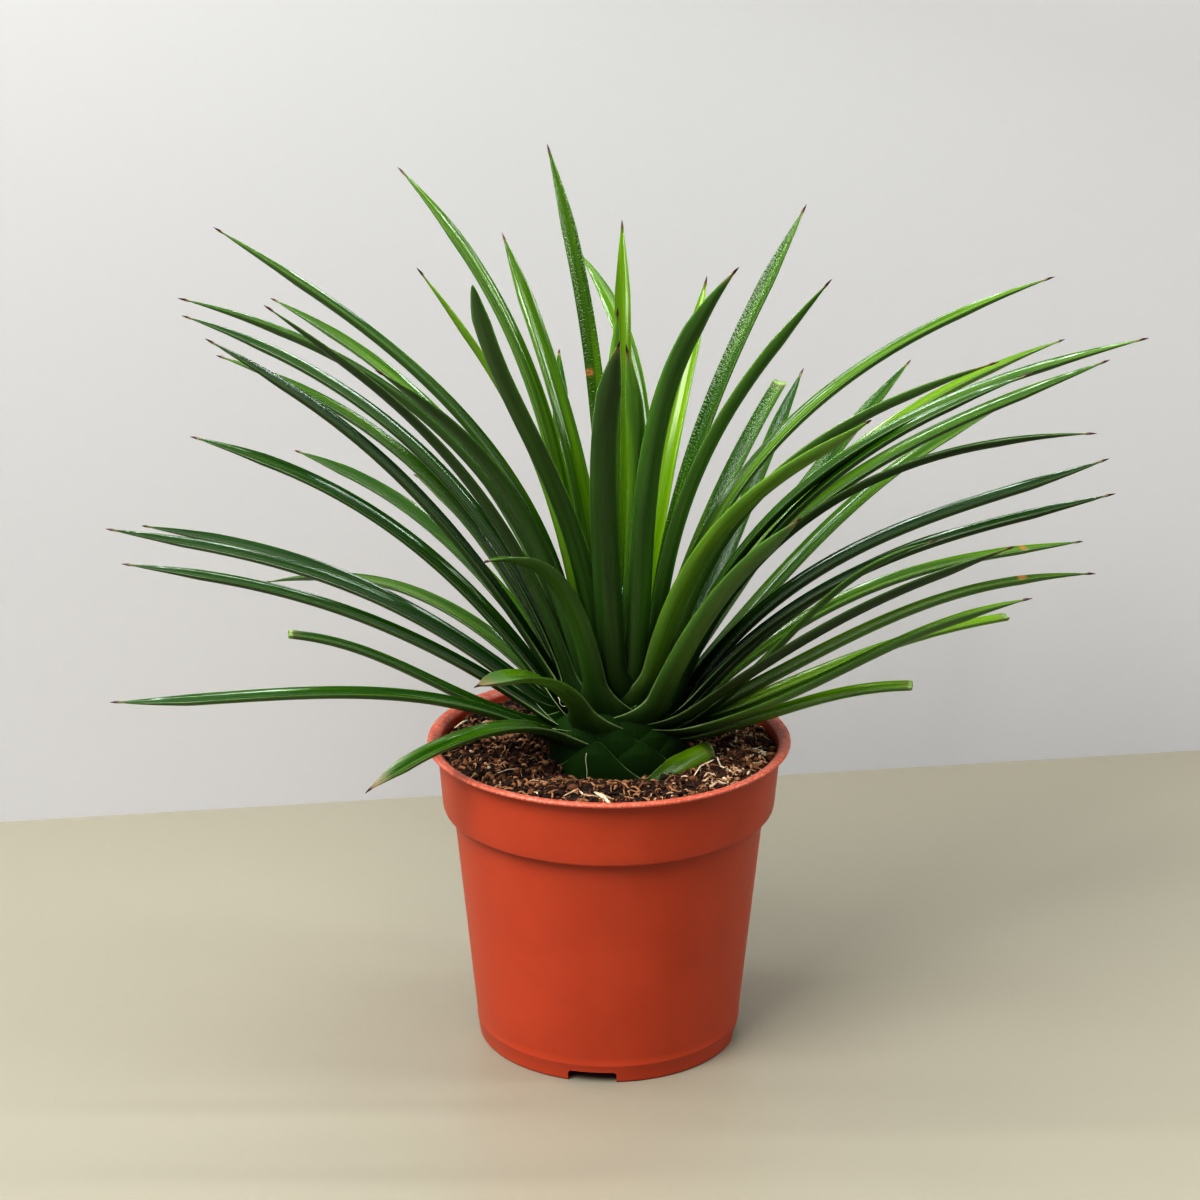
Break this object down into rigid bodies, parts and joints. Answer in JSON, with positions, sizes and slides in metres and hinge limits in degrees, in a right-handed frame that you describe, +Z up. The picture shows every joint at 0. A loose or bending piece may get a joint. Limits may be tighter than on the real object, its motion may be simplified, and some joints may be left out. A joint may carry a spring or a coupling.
{
  "type": "potted agave",
  "caption": "Narrow-leaved agave: an open rosette of long, pointed leaves on a short stem, in soil, in a plain tapered nursery pot with a stacking collar.",
  "frame": {"origin": "on the pot's axis, on the surface that the pot stands on, under the middle of the whole plant", "axes": "+Z up along the pot's axis; -Y towards the viewer of the picture; +X to that viewer's right, along the widest spread of the leaves"},
  "size_m": [0.3389, 0.2401, 0.295],
  "materials": {
    "pot_plastic": "satin",
    "soil_fibre": "matte",
    "stem_flesh": "matte",
    "leaf_green": "satin",
    "tie_plastic": "gloss"
  },
  "bodies": {
    "root": {"pot": "pot_plastic", "soil": "soil_fibre", "stem": "stem_flesh", "tie": "tie_plastic", "leaf_01": "leaf_green", "leaf_02": "leaf_green", "leaf_03": "leaf_green", "leaf_04": "leaf_green", "leaf_05": "leaf_green", "leaf_06": "leaf_green", "leaf_07": "leaf_green", "leaf_08": "leaf_green", "leaf_09": "leaf_green", "leaf_10": "leaf_green", "leaf_11": "leaf_green", "leaf_12": "leaf_green", "leaf_13": "leaf_green", "leaf_14": "leaf_green", "leaf_15": "leaf_green", "leaf_16": "leaf_green", "leaf_17": "leaf_green", "leaf_18": "leaf_green", "leaf_19": "leaf_green", "leaf_20": "leaf_green", "leaf_21": "leaf_green", "leaf_22": "leaf_green", "leaf_23": "leaf_green", "leaf_24": "leaf_green", "leaf_25": "leaf_green", "leaf_26": "leaf_green", "leaf_27": "leaf_green", "leaf_28": "leaf_green", "leaf_29": "leaf_green", "leaf_30": "leaf_green", "leaf_31": "leaf_green", "leaf_32": "leaf_green", "leaf_33": "leaf_green", "leaf_34": "leaf_green", "leaf_35": "leaf_green", "leaf_36": "leaf_green", "leaf_37": "leaf_green", "leaf_38": "leaf_green", "leaf_39": "leaf_green", "leaf_40": "leaf_green", "leaf_41": "leaf_green", "leaf_42": "leaf_green", "leaf_43": "leaf_green", "leaf_44": "leaf_green", "leaf_45": "leaf_green", "leaf_46": "leaf_green", "leaf_47": "leaf_green", "leaf_48": "leaf_green", "leaf_49": "leaf_green", "leaf_50": "leaf_green", "leaf_51": "leaf_green", "leaf_52": "leaf_green", "leaf_53": "leaf_green", "leaf_54": "leaf_green", "leaf_55": "leaf_green", "leaf_56": "leaf_green"}
  },
  "joints": []
}
